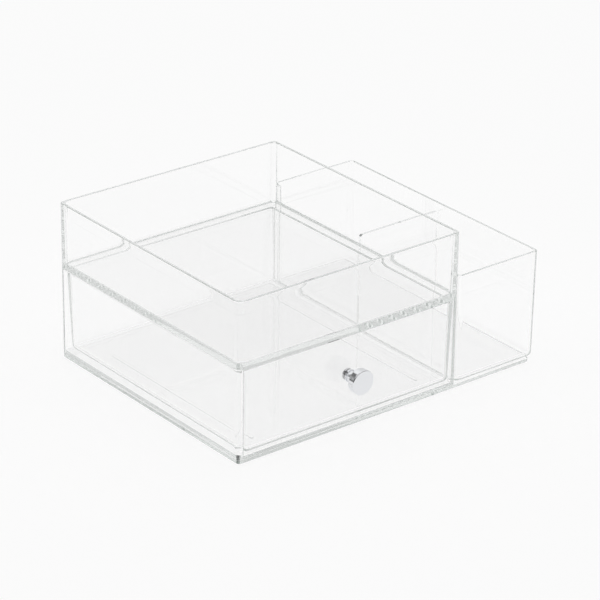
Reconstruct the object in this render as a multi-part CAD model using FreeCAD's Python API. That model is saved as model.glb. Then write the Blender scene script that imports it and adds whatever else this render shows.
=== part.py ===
"""Clear moulded vanity organizer: a tower with an open tray above a drawer bay, and a side bin.

Millimetres, +Z up. Each piece is built from the front left corner of the footprint, with X
to the right along the front and Y to the back, and is then moved so that the origin lies
under the middle of the footprint, on the ground. The drawer is modelled closed.
"""
import FreeCAD, Part
import os

Vector = FreeCAD.Vector
UP = Vector(0, 0, 1)
BACKWARDS = Vector(0, 1, 0)
FORWARDS = Vector(0, -1, 0)

# Overall sizes
depth = 185.0
tower_width = 170.5
bin_width = 65.9
tower_height = 106.5
bin_height = 76.5
drawer_front_height = 55.6

# Wall thicknesses: around the tray, around the drawer bay, of the bin and of the drawer
tray_wall = 2.2
bay_wall = 2.0
bin_wall = 1.7
drawer_wall = 2.0

# Moulding draft, and the thinning of the tray's left and front walls just below the rim
wall_draft = 0.25
rim_thinning = 0.34
rim_taper_height = 9.4
rim_edge_radius = 0.8

# Floors
base_thickness = 2.4
bay_floor_thickness = 2.4
tray_floor_thickness = 3.6
bin_floor_thickness = 1.7
drawer_floor_thickness = 2.0

# Rounded corners and edges; upright corners grow rounder towards the foot
corner_radius = 3.0
tray_rim_corner_radius = 4.0
tray_floor_corner_radius = 5.0
bin_rim_corner_radius = 1.3
bin_foot_corner_radius = 4.6
bin_floor_corner_radius = 3.2
bay_corner_radius = 1.2
bay_front_corner_radius = 4.0
bay_ceiling_cove = 0.8
tray_floor_fillet = 1.5
edge_radius = 0.6

# Clear cement between the mouldings
bond_line = 0.1

# Base plate: it stops short of the rounded foot of the bin's right wall
base_end_inset = 3.9

# The bin has a rounded foot, and flanges in place of a left wall
bin_foot_radius = 3.8
bin_floor_fillet = 2.6
bin_flange = 6.5

# Posts left and right of the drawer, where the bay's sides turn in at the front
post_width = 3.7

# Drawer and its running clearances between the posts and in the bay
drawer_side_clearance = 0.4
drawer_back_clearance = 0.6
drawer_top_clearance = 0.4
drawer_running_clearance = 0.1
drawer_draft = 0.8
drawer_wall_drop = 2.2
drawer_rim_corner_radius = 1.2
drawer_foot_corner_radius = 4.6
drawer_inner_rim_radius = 2.2
drawer_inner_floor_radius = 3.0
drawer_foot_radius = 4.0
drawer_floor_fillet = 2.4

# Runner ribs on the bay floor that carry the drawer
runner_width = 2.2
runner_height = 0.4
runner_inset = 21.0
runner_front = 14.0
runner_back = 30.0

# Cross divider in the side bin
divider_thickness = 2.0
divider_centre = 95.0
divider_drop = 5.5
divider_corner_radius = 2.0
divider_fit = 0.15

# Knob, turned and threaded for a machine screw through the drawer front
knob_across = 84.4
knob_height = 34.4
knob_length = 13.1
knob_head_diameter = 16.3
knob_head_thickness = 5.0
knob_shoulder_diameter = 9.2
knob_neck_diameter = 6.4
knob_foot_diameter = 8.4
knob_foot_thickness = 1.4
knob_edge_radius = 0.7
knob_thread_depth = 8.5
screw_diameter = 4.0
screw_clearance = 0.2
thread_clearance = 0.05
screw_engagement = 7.0
screw_head_diameter = 7.6
screw_head_height = 2.4
screw_recess_length = 4.4
screw_recess_width = 1.2
screw_recess_depth = 1.2

# Levels and places that follow from the sizes above
body_bottom = base_thickness + bond_line
bay_floor_top = body_bottom + bay_floor_thickness
bin_floor_top = body_bottom + bin_floor_thickness
drawer_bottom = bay_floor_top + runner_height + drawer_running_clearance
drawer_front_top = drawer_bottom + drawer_front_height
tray_bottom = drawer_front_top + drawer_top_clearance
tray_floor = tray_bottom + tray_floor_thickness
bin_left = tower_width + bond_line
total_width = bin_left + bin_width
drawer_left = post_width + drawer_side_clearance
drawer_right = tower_width - drawer_left
drawer_back = depth - bay_wall - drawer_back_clearance
knob_seat = Vector(knob_across, 0, knob_height)
footprint_middle = Vector(total_width / 2, depth / 2, 0)


def rounded_wire(x0, y0, x1, y1, level, radius):
    """A rectangle with rounded corners, as one closed wire at one level."""
    centres = (
        (x1 - radius, y0 + radius, -90),
        (x1 - radius, y1 - radius, 0),
        (x0 + radius, y1 - radius, 90),
        (x0 + radius, y0 + radius, 180),
    )
    arcs = []
    for cx, cy, start in centres:
        centre = Vector(cx, cy, level)
        arcs.append(Part.makeCircle(radius, centre, UP, start, start + 90))
    edges = []
    for arc, following in zip(arcs, arcs[1:] + arcs[:1]):
        edges.append(arc)
        edges.append(Part.makeLine(arc.Vertexes[-1].Point, following.Vertexes[0].Point))
    return Part.Wire(edges)


def rounded_block(x0, y0, x1, y1, z0, z1, radius):
    """An upright block with rounded vertical edges."""
    face = Part.Face(rounded_wire(x0, y0, x1, y1, z0, radius))
    return face.extrude(UP * (z1 - z0))


def edges_at_level(shape, level):
    """The edges of a shape that lie wholly at one level."""
    found = []
    for edge in shape.Edges:
        box = edge.BoundBox
        if abs(box.ZMin - level) < 1e-4 and abs(box.ZMax - level) < 1e-4:
            found.append(edge)
    return found


def thinning_at(depth_below_rim):
    """How much thinner a tapered wall is at a depth below its rim."""
    into_rim = max(0.0, 1 - depth_below_rim / rim_taper_height)
    return rim_thinning * into_rim ** 3.5


def pocket(x0, y0, x1, y1, floor, rim_level, wall, floor_corner, rim_corner, fillet):
    """The hollow of a moulded tray, given by the tray's outside.

    Its sides lean out a little from the floor to the rim.
    """
    foot = wall + wall_draft
    bottom = rounded_wire(x0 + foot, y0 + foot, x1 - foot, y1 - foot, floor, floor_corner)
    top = rounded_wire(x0 + wall, y0 + wall, x1 - wall, y1 - wall, rim_level, rim_corner)
    hollow = Part.makeLoft([bottom, top], True, True)
    return hollow.makeFillet(fillet, edges_at_level(hollow, floor))


def thinned_rim(x0, y0, x1, y1, rim_level, wall):
    """What the left and front walls of a tray lose where they thin smoothly to the rim."""
    wires = []
    for share in (1.0, 0.8, 0.6, 0.4, 0.2, 0.0):
        below = share * rim_taper_height
        inset = wall - thinning_at(below)
        wires.append(rounded_wire(
            x0 + inset, y0 + inset, x1 - 2 * wall, y1 - 2 * wall,
            rim_level - below, tray_rim_corner_radius,
        ))
    return Part.makeLoft(wires, True, False)


def soften_rim(shape, level):
    """Rounds the edges of a rim."""
    return shape.makeFillet(rim_edge_radius, edges_at_level(shape, level))


def make_base_plate():
    """The plate under the tower and the bin."""
    end = total_width - base_end_inset
    plate = rounded_block(0, 0, end, depth, 0, base_thickness, corner_radius)
    return plate.makeFillet(edge_radius, edges_at_level(plate, 0))


def make_runner(centre_x):
    """A low rib with round ends, along the depth."""
    half = runner_width / 2
    end_flat = half / 10
    return rounded_block(
        centre_x - half, runner_front, centre_x + half, depth - runner_back,
        bay_floor_top, bay_floor_top + runner_height, half - end_flat,
    )


def bay_space(gap=0.0):
    """The drawer bay with its doorway between the posts, or what fits in it with a gap.

    It runs on through the bottom of the tower.
    """
    left = bay_wall + gap
    right = tower_width - left
    below = body_bottom - bay_wall
    back_part = rounded_block(
        left, depth / 4, right, depth - left, below, tray_bottom, bay_corner_radius,
    )
    front_part = rounded_block(
        left, left, right, depth / 2, below, tray_bottom, bay_front_corner_radius,
    )
    inside = back_part.fuse(front_part).removeSplitter()
    inside = inside.makeFillet(bay_ceiling_cove, edges_at_level(inside, tray_bottom))
    door_left = post_width + gap
    doorway = Part.makeBox(
        tower_width - 2 * door_left, 3 * corner_radius, tray_bottom - below,
        Vector(door_left, -corner_radius, below),
    )
    return inside.fuse(doorway)


def make_bay_floor():
    """The plate between the bay's walls, with the two ribs that carry the drawer."""
    layer = Part.makeBox(
        tower_width, depth, bay_floor_thickness, Vector(0, 0, body_bottom),
    )
    runners = [make_runner(runner_inset), make_runner(tower_width - runner_inset)]
    return layer.common(bay_space(bond_line)).multiFuse(runners).removeSplitter()


def make_tower_body():
    """The tower in one moulding: an open tray above, and below it the drawer bay.

    The bay is open at the front and at the bottom; the tray's floor is its ceiling.
    """
    outside = rounded_block(0, 0, tower_width, depth, body_bottom, tower_height, corner_radius)
    hollow = pocket(
        0, 0, tower_width, depth, tray_floor, tower_height, tray_wall,
        tray_floor_corner_radius, tray_rim_corner_radius, tray_floor_fillet,
    )
    hollow = hollow.fuse(thinned_rim(0, 0, tower_width, depth, tower_height, tray_wall))
    return soften_rim(outside.cut(hollow).cut(bay_space()), tower_height)


def bin_hollow(gap=0.0):
    """The bin's hollow, or what fits inside it with a gap all round."""
    return pocket(
        bin_left + gap, gap, total_width - gap, depth - gap, bin_floor_top + gap, bin_height,
        bin_wall, bin_floor_corner_radius, bin_rim_corner_radius, bin_floor_fillet,
    )


def bin_open_side(gap=0.0):
    """The space between the bin's two flanges, or what fits inside it with a gap."""
    past_fillet = bin_wall + wall_draft + bin_floor_fillet
    return Part.makeBox(
        past_fillet + bond_line - gap, depth - 2 * bin_flange, bin_height - bin_floor_top,
        Vector(tower_width + gap, bin_flange, bin_floor_top + gap),
    )


def make_side_bin():
    """The open bin beside the tower, with a rounded foot.

    The tower's wall closes its left side, where only two narrow flanges are cemented on.
    """
    foot = rounded_wire(bin_left, 0, total_width, depth, body_bottom, bin_foot_corner_radius)
    top = rounded_wire(bin_left, 0, total_width, depth, bin_height, corner_radius)
    outside = Part.makeLoft([foot, top], True, True)
    outside = outside.makeFillet(bin_foot_radius, edges_at_level(outside, body_bottom))
    return soften_rim(outside.cut(bin_hollow()), bin_height).cut(bin_open_side())


def make_bin_divider():
    """A plate across the bin that follows its inside; its top lies below the bin's rim."""
    front = divider_centre - divider_thickness / 2
    foot = bin_floor_top + divider_fit
    top = bin_height - divider_drop
    slab = Part.makeBox(bin_width, divider_thickness, top - foot, Vector(bin_left, front, foot))
    inside = bin_hollow(divider_fit).fuse(bin_open_side(divider_fit))
    plate = slab.common(inside).removeSplitter()
    corners = []
    for edge in plate.Edges:
        box = edge.BoundBox
        along_depth = box.YLength > divider_thickness / 2
        thin = box.XLength < 0.01 and box.ZLength < 0.01
        if along_depth and thin and abs(box.ZMax - top) < 0.01:
            corners.append(edge)
    return plate.makeFillet(divider_corner_radius, corners)


def drawer_outline(level, radius, inset=0.0):
    """The drawer's outline at a level; the sides and back lean in towards the bottom."""
    lean = drawer_draft * (drawer_front_top - level) / drawer_front_height
    left = drawer_left + lean + inset
    right = drawer_right - lean - inset
    return rounded_wire(left, inset, right, drawer_back - lean - inset, level, radius)


def make_drawer_box():
    """The drawer: a moulded box whose front stands a little higher than its walls."""
    outline_bottom = drawer_outline(drawer_bottom, drawer_foot_corner_radius)
    outline_top = drawer_outline(drawer_front_top, drawer_rim_corner_radius)
    outside = Part.makeLoft([outline_bottom, outline_top], True, True)
    outside = outside.makeFillet(drawer_foot_radius, edges_at_level(outside, drawer_bottom))

    inner_floor = drawer_bottom + drawer_floor_thickness
    hollow_bottom = drawer_outline(inner_floor, drawer_inner_floor_radius, drawer_wall)
    hollow_top = drawer_outline(drawer_front_top, drawer_inner_rim_radius, drawer_wall)
    hollow = Part.makeLoft([hollow_bottom, hollow_top], True, True)
    hollow = hollow.makeFillet(drawer_floor_fillet, edges_at_level(hollow, inner_floor))

    wall_top = drawer_front_top - drawer_wall_drop
    behind_front = drawer_wall + drawer_inner_rim_radius
    above_walls = Part.makeBox(
        tower_width, depth, 2 * drawer_wall_drop, Vector(0, behind_front, wall_top),
    )
    hole_radius = screw_diameter / 2 + screw_clearance
    hole_start = knob_seat - BACKWARDS * drawer_wall
    hole = Part.makeCylinder(hole_radius, 3 * drawer_wall, hole_start, BACKWARDS)
    return outside.cut(hollow).cut(above_walls).cut(hole)


def knob_point(radius, reach):
    """A point of the knob's outline, at a radius and a distance in front of the drawer."""
    return knob_seat + Vector(radius, -reach, 0)


def circles_in_front(shape, reach, radius):
    """The circular edges of a radius that lie a distance in front of the drawer."""
    found = []
    for edge in shape.Edges:
        box = edge.BoundBox
        flat = box.YLength < 1e-4 and abs(box.YMin + reach) < 1e-4
        if flat and abs(edge.Curve.Radius - radius) < 1e-4:
            found.append(edge)
    return found


def make_knob():
    """The turned knob: a foot, a waisted neck and a flat round head, with a blind thread."""
    foot = knob_foot_diameter / 2
    neck = knob_neck_diameter / 2
    shoulder = knob_shoulder_diameter / 2
    head = knob_head_diameter / 2
    head_back = knob_length - knob_head_thickness
    waist = knob_foot_thickness + (head_back - knob_foot_thickness) * 0.4
    foot_edge = knob_point((foot + neck) / 2, knob_foot_thickness)
    head_edge = knob_point(shoulder, head_back)
    straight_runs = (
        (knob_point(0, 0), knob_point(foot, 0)),
        (knob_point(foot, 0), knob_point(foot, knob_foot_thickness)),
        (knob_point(foot, knob_foot_thickness), foot_edge),
        (head_edge, knob_point(head, head_back)),
        (knob_point(head, head_back), knob_point(head, knob_length)),
        (knob_point(head, knob_length), knob_point(0, knob_length)),
        (knob_point(0, knob_length), knob_point(0, 0)),
    )
    edges = [Part.makeLine(start, end) for start, end in straight_runs]
    edges.insert(3, Part.Arc(foot_edge, knob_point(neck, waist), head_edge).toShape())
    outline = Part.Face(Part.Wire(edges))
    body = outline.revolve(knob_seat, FORWARDS, 360)
    rounded = circles_in_front(body, head_back, head) + circles_in_front(body, knob_length, head)
    body = body.makeFillet(knob_edge_radius, rounded)
    bore_radius = screw_diameter / 2 + thread_clearance
    bore = Part.makeCylinder(bore_radius, knob_thread_depth, knob_seat, FORWARDS)
    return body.cut(bore)


def make_knob_screw():
    """The pan-head machine screw from inside the drawer into the knob."""
    centre = knob_seat + BACKWARDS * drawer_wall
    shank_length = drawer_wall + screw_engagement
    shank = Part.makeCylinder(screw_diameter / 2, shank_length, centre, FORWARDS)
    head = Part.makeCylinder(screw_head_diameter / 2, screw_head_height, centre, BACKWARDS)
    rear = []
    for edge in head.Edges:
        box = edge.BoundBox
        if abs(box.YMin - (centre.y + screw_head_height)) < 1e-4:
            rear.append(edge)
    head = head.makeFillet(screw_head_height / 2, rear)
    screw = shank.fuse(head)
    slot_sizes = (
        (screw_recess_length, screw_recess_width),
        (screw_recess_width, screw_recess_length),
    )
    for width, height in slot_sizes:
        corner = centre + Vector(-width / 2, screw_head_height - screw_recess_depth, -height / 2)
        screw = screw.cut(Part.makeBox(width, 2 * screw_recess_depth, height, corner))
    return screw.removeSplitter()


def main():
    os.makedirs("parts", exist_ok=True)
    parts = {
        "base_plate": make_base_plate(),
        "bay_floor": make_bay_floor(),
        "tower_body": make_tower_body(),
        "side_bin": make_side_bin(),
        "bin_divider": make_bin_divider(),
        "drawer_box": make_drawer_box(),
        "drawer_knob": make_knob(),
        "knob_screw": make_knob_screw(),
    }
    for name, shape in parts.items():
        shape.translate(footprint_middle * -1)
        shape.exportStep("parts/" + name + ".step")
        box = shape.BoundBox
        low = (round(box.XMin, 2), round(box.YMin, 2), round(box.ZMin, 2))
        high = (round(box.XMax, 2), round(box.YMax, 2), round(box.ZMax, 2))
        print(name, len(shape.Solids), shape.isValid(), round(shape.Volume, 1), low, high)


main()
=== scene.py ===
"""Looks of the clear vanity organizer: clear mouldings, turned chrome knob, steel screw.

Metres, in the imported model's own frame: X to the right along the front, Y to the back, Z up.
"""
import math

import bmesh
import bpy
from mathutils import Matrix, Vector


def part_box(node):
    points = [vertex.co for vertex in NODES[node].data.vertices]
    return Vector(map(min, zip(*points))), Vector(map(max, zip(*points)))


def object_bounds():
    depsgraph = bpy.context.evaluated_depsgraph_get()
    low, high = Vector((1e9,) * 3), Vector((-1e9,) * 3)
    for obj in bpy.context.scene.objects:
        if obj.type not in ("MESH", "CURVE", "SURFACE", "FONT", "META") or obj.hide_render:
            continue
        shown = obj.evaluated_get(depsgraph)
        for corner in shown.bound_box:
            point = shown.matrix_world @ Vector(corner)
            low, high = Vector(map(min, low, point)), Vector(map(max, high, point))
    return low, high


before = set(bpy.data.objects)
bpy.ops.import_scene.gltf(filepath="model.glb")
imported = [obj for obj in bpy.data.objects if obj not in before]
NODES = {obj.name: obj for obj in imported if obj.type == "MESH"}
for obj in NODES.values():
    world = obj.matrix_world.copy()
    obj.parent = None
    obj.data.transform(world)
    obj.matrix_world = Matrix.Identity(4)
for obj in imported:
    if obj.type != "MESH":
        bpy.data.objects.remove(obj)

CAD_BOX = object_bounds()

# ---------------------------------------------------------------- camera
CAMERA_AZIMUTH = math.radians(38.70)  # turned from straight ahead towards the left
CAMERA_ELEVATION = math.radians(25.11)
CAMERA_ROLL = math.radians(-0.78)
CAMERA_DISTANCE = 1.8222
CAMERA_LENS_MM = 184.2
SENSOR_MM = 36.0
CLIP_NEAR = 0.05
CLIP_FAR = 50.0

# The point aimed at: this high at the tower's front left foot, then right and up in the view
AIM_HEIGHT = 0.001
AIM_RIGHT = 0.03652
AIM_UP = 0.09725


def camera_axes():
    """The camera's right, up and backward directions."""
    a, e = CAMERA_AZIMUTH, CAMERA_ELEVATION
    back = Vector((-math.sin(a) * math.cos(e), -math.cos(a) * math.cos(e), math.sin(e)))
    right = Vector((math.cos(a), -math.sin(a), 0.0))
    up = back.cross(right)
    cos_roll, sin_roll = math.cos(CAMERA_ROLL), math.sin(CAMERA_ROLL)
    rolled_right = right * cos_roll - up * sin_roll
    rolled_up = right * sin_roll + up * cos_roll
    return rolled_right, rolled_up, back


def make_camera():
    """A long lens from the front left and above, rolled a little."""
    low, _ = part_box("tower_body")
    corner = Vector((low.x, low.y, AIM_HEIGHT))
    right, up, back = camera_axes()
    place = corner + right * AIM_RIGHT + up * AIM_UP + back * CAMERA_DISTANCE
    data = bpy.data.cameras.new("camera")
    data.sensor_width = SENSOR_MM
    data.lens = CAMERA_LENS_MM
    data.clip_start = CLIP_NEAR
    data.clip_end = CLIP_FAR
    camera = bpy.data.objects.new("camera", data)
    turn = Matrix((right, up, back)).transposed()
    camera.matrix_world = Matrix.Translation(place) @ turn.to_4x4()
    bpy.context.scene.collection.objects.link(camera)
    bpy.context.scene.camera = camera


# ---------------------------------------------------------------- studio light
WHITE = (1.0, 1.0, 1.0, 1.0)

# Brightness overhead, behind the object, on the camera's side and as the camera sees it
STUDIO_TOP = 1.1
STUDIO_BACK = 0.8
STUDIO_NEAR = 0.04
STUDIO_SEEN = 0.97
STUDIO_GUIDED = 0.75  # for light that was mirrored at least twice

# Where the dark side gives way to the bright one (cosines), and the sides to the top (heights)
SIDES_START = -0.35
SIDES_END = 0.45
TOP_START = 0.5
TOP_END = 0.75

# A dim stretch low down at one end: its brightness, middle direction, soft edge as cosines,
# and the heights between which it fades out
STUDIO_GAP = 0.2
GAP_AZIMUTH = math.radians(-40.0)
GAP_START = 0.4
GAP_END = 0.7
LOW_START = 0.1
LOW_END = 0.35

# A black card behind and to the left, seen only by light mirrored once: its middle direction,
# and its soft edge as cosines
CARD_AZIMUTH = math.radians(-36.0)
CARD_ELEVATION = math.radians(22.0)
CARD_OUTER = 0.84
CARD_INNER = 0.92

# The light table: how much light it returns and how much it gives, and its half width
FLOOR_PAINT = 0.22
FLOOR_GLOW = 0.78
FLOOR_REACH = 12.0
FLOOR_GAP = 0.0003  # between the floor and the base plate

# Light is followed this far through the many clear walls
MIRROR_BOUNCES = 400
SHADOW_BOUNCES = 32

# ---------------------------------------------------------------- clear plastic
PLASTIC_IOR = 1.52
PLASTIC_TINT = (0.92, 0.93, 0.925, 1.0)

# Absorption in the walls, and in the two plates at the foot. The plates' extra density is painted
# shade: it darkens the foot, where shade falls
PLASTIC_DENSITY = 10.0
SHADED_PLATE_DENSITY = 14.0

# The moulded skin: a shallow ripple, and a haze that comes and goes
RIPPLE_SCALE = 40.0
RIPPLE_DETAIL = 1.0
RIPPLE_FALLOFF = 0.4
RIPPLE_DEPTH = 0.0002
RIPPLE_STRENGTH = 0.1
HAZE_SCALE = 24.0
HAZE_DETAIL = 3.0
HAZE_FALLOFF = 0.6
HAZE_THIN = 0.35  # below this value of the noise there is no haze, and above the next the most
HAZE_THICK = 0.75
HAZE_MOST = 0.012  # roughness of the haziest places

# ---------------------------------------------------------------- metals
CHROME_COLOUR = (0.80, 0.81, 0.83, 1.0)
CHROME_WEAR_SCALE = 300.0
CHROME_ROUGHNESS = (0.03, 0.09)
STEEL_COLOUR = (0.62, 0.62, 0.63, 1.0)
STEEL_WEAR_SCALE = 900.0
STEEL_ROUGHNESS = (0.18, 0.34)
WEAR_DETAIL = 2.0


# ---------------------------------------------------------------- node helpers
def new_material(name):
    material = bpy.data.materials.new(name)
    material.use_nodes = True
    material.node_tree.nodes.clear()
    return material, material.node_tree


def add(tree, kind, **values):
    """A node with the given socket values, by socket name."""
    node = tree.nodes.new(kind)
    for name, value in values.items():
        node.inputs[name.replace("_", " ")].default_value = value
    return node


def link(tree, source, target):
    tree.links.new(source, target)


def make_moulded_surface():
    """Group: the faint ripple and haze of a moulded, polished surface."""
    tree = bpy.data.node_groups.new("moulded_surface", "ShaderNodeTree")
    face = tree.interface
    face.new_socket("Ripple Scale", in_out="INPUT", socket_type="NodeSocketFloat")
    face.new_socket("Haze Low", in_out="INPUT", socket_type="NodeSocketFloat")
    face.new_socket("Haze High", in_out="INPUT", socket_type="NodeSocketFloat")
    face.new_socket("Roughness", in_out="OUTPUT", socket_type="NodeSocketFloat")
    face.new_socket("Ripple", in_out="OUTPUT", socket_type="NodeSocketFloat")
    inlet = tree.nodes.new("NodeGroupInput")
    outlet = tree.nodes.new("NodeGroupOutput")
    place = tree.nodes.new("ShaderNodeTexCoord")
    ripple = add(tree, "ShaderNodeTexNoise", Detail=RIPPLE_DETAIL, Roughness=RIPPLE_FALLOFF)
    haze = add(
        tree, "ShaderNodeTexNoise", Scale=HAZE_SCALE, Detail=HAZE_DETAIL, Roughness=HAZE_FALLOFF,
    )
    spread = tree.nodes.new("ShaderNodeMapRange")
    link(tree, place.outputs["Object"], ripple.inputs["Vector"])
    link(tree, place.outputs["Object"], haze.inputs["Vector"])
    link(tree, inlet.outputs["Ripple Scale"], ripple.inputs["Scale"])
    link(tree, haze.outputs["Fac"], spread.inputs["Value"])
    link(tree, inlet.outputs["Haze Low"], spread.inputs["To Min"])
    link(tree, inlet.outputs["Haze High"], spread.inputs["To Max"])
    spread.inputs["From Min"].default_value = HAZE_THIN
    spread.inputs["From Max"].default_value = HAZE_THICK
    link(tree, spread.outputs["Result"], outlet.inputs["Roughness"])
    link(tree, ripple.outputs["Fac"], outlet.inputs["Ripple"])
    return tree


MOULDED_SURFACE = make_moulded_surface()


def make_clear_plastic(name, density):
    """Clear moulded plastic: refracting, tinted by its thickness, and open to shadow rays."""
    material, tree = new_material(name)
    group = tree.nodes.new("ShaderNodeGroup")
    group.node_tree = MOULDED_SURFACE
    group.inputs["Ripple Scale"].default_value = RIPPLE_SCALE
    group.inputs["Haze Low"].default_value = 0.0
    group.inputs["Haze High"].default_value = HAZE_MOST
    bump = add(tree, "ShaderNodeBump", Strength=RIPPLE_STRENGTH, Distance=RIPPLE_DEPTH)
    plastic = add(tree, "ShaderNodeBsdfPrincipled", Metallic=0.0, Transmission_Weight=1.0)
    plastic.inputs["IOR"].default_value = PLASTIC_IOR
    plastic.inputs["Base Color"].default_value = WHITE
    link(tree, group.outputs["Ripple"], bump.inputs["Height"])
    link(tree, bump.outputs["Normal"], plastic.inputs["Normal"])
    link(tree, group.outputs["Roughness"], plastic.inputs["Roughness"])
    shade = tree.nodes.new("ShaderNodeBsdfTransparent")
    shade.inputs["Color"].default_value = WHITE
    path = tree.nodes.new("ShaderNodeLightPath")
    mix = tree.nodes.new("ShaderNodeMixShader")
    link(tree, path.outputs["Is Shadow Ray"], mix.inputs["Fac"])
    link(tree, plastic.outputs["BSDF"], mix.inputs[1])
    link(tree, shade.outputs["BSDF"], mix.inputs[2])
    absorb = tree.nodes.new("ShaderNodeVolumeAbsorption")
    absorb.inputs["Color"].default_value = PLASTIC_TINT
    absorb.inputs["Density"].default_value = density
    output = tree.nodes.new("ShaderNodeOutputMaterial")
    link(tree, mix.outputs["Shader"], output.inputs["Surface"])
    link(tree, absorb.outputs["Volume"], output.inputs["Volume"])
    return material


def make_metal(name, colour, wear_scale, roughness_range):
    """Metal whose polish varies a little from place to place."""
    material, tree = new_material(name)
    place = tree.nodes.new("ShaderNodeTexCoord")
    haze = add(tree, "ShaderNodeTexNoise", Scale=wear_scale, Detail=WEAR_DETAIL)
    spread = tree.nodes.new("ShaderNodeMapRange")
    spread.inputs["To Min"].default_value = roughness_range[0]
    spread.inputs["To Max"].default_value = roughness_range[1]
    metal = add(tree, "ShaderNodeBsdfPrincipled", Metallic=1.0)
    metal.inputs["Base Color"].default_value = colour
    output = tree.nodes.new("ShaderNodeOutputMaterial")
    link(tree, place.outputs["Object"], haze.inputs["Vector"])
    link(tree, haze.outputs["Fac"], spread.inputs["Value"])
    link(tree, spread.outputs["Result"], metal.inputs["Roughness"])
    link(tree, metal.outputs["BSDF"], output.inputs["Surface"])
    return material


def make_floor_paint():
    """A matt white light table: most of its brightness is its own glow."""
    material, tree = new_material("pale_floor")
    paint = add(tree, "ShaderNodeBsdfDiffuse")
    paint.inputs["Color"].default_value = (FLOOR_PAINT, FLOOR_PAINT, FLOOR_PAINT, 1.0)
    glow = add(tree, "ShaderNodeEmission", Strength=FLOOR_GLOW)
    glow.inputs["Color"].default_value = WHITE
    both = tree.nodes.new("ShaderNodeAddShader")
    output = tree.nodes.new("ShaderNodeOutputMaterial")
    link(tree, paint.outputs["BSDF"], both.inputs[0])
    link(tree, glow.outputs["Emission"], both.inputs[1])
    link(tree, both.outputs["Shader"], output.inputs["Surface"])
    return material


# ---------------------------------------------------------------- stage
def make_floor():
    """A wide flat sheet just under the base plate; it belongs to the stage."""
    mesh = bpy.data.meshes.new("floor")
    shape = bmesh.new()
    bmesh.ops.create_grid(shape, x_segments=1, y_segments=1, size=FLOOR_REACH)
    bmesh.ops.translate(shape, verts=shape.verts, vec=(0.0, 0.0, CAD_BOX[0].z - FLOOR_GAP))
    shape.to_mesh(mesh)
    shape.free()
    floor = bpy.data.objects.new("floor", mesh)
    floor.data.materials.append(make_floor_paint())
    bpy.context.scene.collection.objects.link(floor)


def mapped(tree, source, low, high, out_low, out_high):
    """A smooth step of a value from one range to another."""
    step = tree.nodes.new("ShaderNodeMapRange")
    step.interpolation_type = "SMOOTHSTEP"
    step.inputs["From Min"].default_value = low
    step.inputs["From Max"].default_value = high
    step.inputs["To Min"].default_value = out_low
    step.inputs["To Max"].default_value = out_high
    link(tree, source, step.inputs["Value"])
    return step.outputs["Result"]


def mixed(tree, share, first, second):
    """Blends two numbers; each of them is a socket or a plain value."""
    blend = tree.nodes.new("ShaderNodeMix")
    blend.data_type = "FLOAT"
    link(tree, share, blend.inputs[0])
    for slot, value in ((2, first), (3, second)):
        if isinstance(value, float):
            blend.inputs[slot].default_value = value
        else:
            link(tree, value, blend.inputs[slot])
    return blend.outputs[0]


def facing(tree, place, azimuth, elevation=0.0):
    """How nearly a direction points towards an azimuth, turned from straight back."""
    level = math.cos(elevation)
    dot = tree.nodes.new("ShaderNodeVectorMath")
    dot.operation = "DOT_PRODUCT"
    dot.inputs[1].default_value = (
        math.sin(azimuth) * level, math.cos(azimuth) * level, math.sin(elevation),
    )
    link(tree, place, dot.inputs[0])
    return dot.outputs["Value"]


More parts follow.
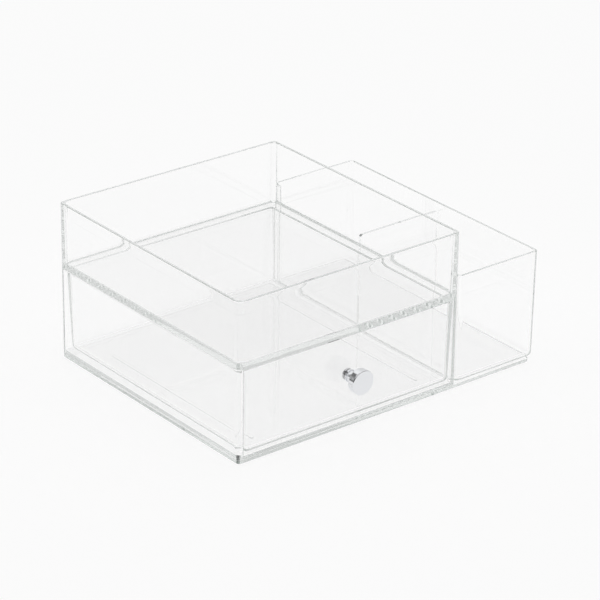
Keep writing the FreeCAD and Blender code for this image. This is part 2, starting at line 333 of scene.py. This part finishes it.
def make_studio():
    """A soft studio: bright overhead and behind, darker on the camera's side and low at one end.

    It isn't physical. Light that was mirrored once meets a black card, light that was mirrored
    more often meets one flat brightness, and the camera itself sees a plain pale backdrop.
    """
    world = bpy.data.worlds.new("studio")
    bpy.context.scene.world = world
    world.use_nodes = True
    tree = world.node_tree
    tree.nodes.clear()
    place = tree.nodes.new("ShaderNodeTexCoord").outputs["Generated"]
    split = tree.nodes.new("ShaderNodeSeparateXYZ")
    link(tree, place, split.inputs["Vector"])
    height = split.outputs["Z"]
    away = facing(tree, place, CAMERA_AZIMUTH)
    sides = mapped(tree, away, SIDES_START, SIDES_END, STUDIO_NEAR, STUDIO_BACK)
    low = mapped(tree, height, LOW_END, LOW_START, 0.0, 1.0)
    gap_side = mapped(tree, facing(tree, place, GAP_AZIMUTH), GAP_START, GAP_END, 0.0, 1.0)
    gap = tree.nodes.new("ShaderNodeMath")
    gap.operation = "MULTIPLY"
    link(tree, low, gap.inputs[0])
    link(tree, gap_side, gap.inputs[1])
    sides = mixed(tree, gap.outputs["Value"], sides, STUDIO_GAP)
    overhead = mapped(tree, height, TOP_START, TOP_END, 0.0, 1.0)
    studio = mixed(tree, overhead, sides, STUDIO_TOP)
    path = tree.nodes.new("ShaderNodeLightPath")
    mirrored = path.outputs["Glossy Depth"]
    towards_card = facing(tree, place, CARD_AZIMUTH, CARD_ELEVATION)
    card = mapped(tree, towards_card, CARD_OUTER, CARD_INNER, 0.0, 1.0)
    after_one_mirror = mixed(tree, card, studio, 0.0)
    once = mapped(tree, mirrored, 0.0, 1.0, 0.0, 1.0)
    studio = mixed(tree, once, studio, after_one_mirror)
    twice = mapped(tree, mirrored, 1.0, 2.0, 0.0, 1.0)
    studio = mixed(tree, twice, studio, STUDIO_GUIDED)
    seen = mixed(tree, path.outputs["Is Camera Ray"], studio, STUDIO_SEEN)
    glow = tree.nodes.new("ShaderNodeBackground")
    glow.inputs["Color"].default_value = WHITE
    output = tree.nodes.new("ShaderNodeOutputWorld")
    link(tree, seen, glow.inputs["Strength"])
    link(tree, glow.outputs["Background"], output.inputs["Surface"])


def set_render_rules():
    """Plain colours, and enough bounces for light caught inside the clear walls."""
    scene = bpy.context.scene
    scene.view_settings.view_transform = "Standard"
    scene.cycles.max_bounces = MIRROR_BOUNCES
    scene.cycles.transmission_bounces = MIRROR_BOUNCES
    scene.cycles.glossy_bounces = MIRROR_BOUNCES
    scene.cycles.transparent_max_bounces = SHADOW_BOUNCES
    scene.cycles.caustics_refractive = True


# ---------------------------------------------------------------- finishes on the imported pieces
def dress(names, material):
    for name in names:
        NODES[name].material_slots[0].material = material


def finish_pieces():
    """Walls of clear plastic, plates at the foot made denser as painted shade, a polished knob
    and a satin screw.
    """
    walls = make_clear_plastic("clear_plastic", PLASTIC_DENSITY)
    dress(("tower_body", "side_bin", "bin_divider", "drawer_box"), walls)
    # A denser copy of the clear plastic for the plates: painted shade at the foot
    plates = make_clear_plastic("clear_plate_painted_shade", SHADED_PLATE_DENSITY)
    dress(("base_plate", "bay_floor"), plates)
    chrome = make_metal("polished_chrome", CHROME_COLOUR, CHROME_WEAR_SCALE, CHROME_ROUGHNESS)
    dress(("drawer_knob",), chrome)
    steel = make_metal("satin_steel", STEEL_COLOUR, STEEL_WEAR_SCALE, STEEL_ROUGHNESS)
    dress(("knob_screw",), steel)


make_camera()
make_floor()
make_studio()
set_render_rules()
finish_pieces()
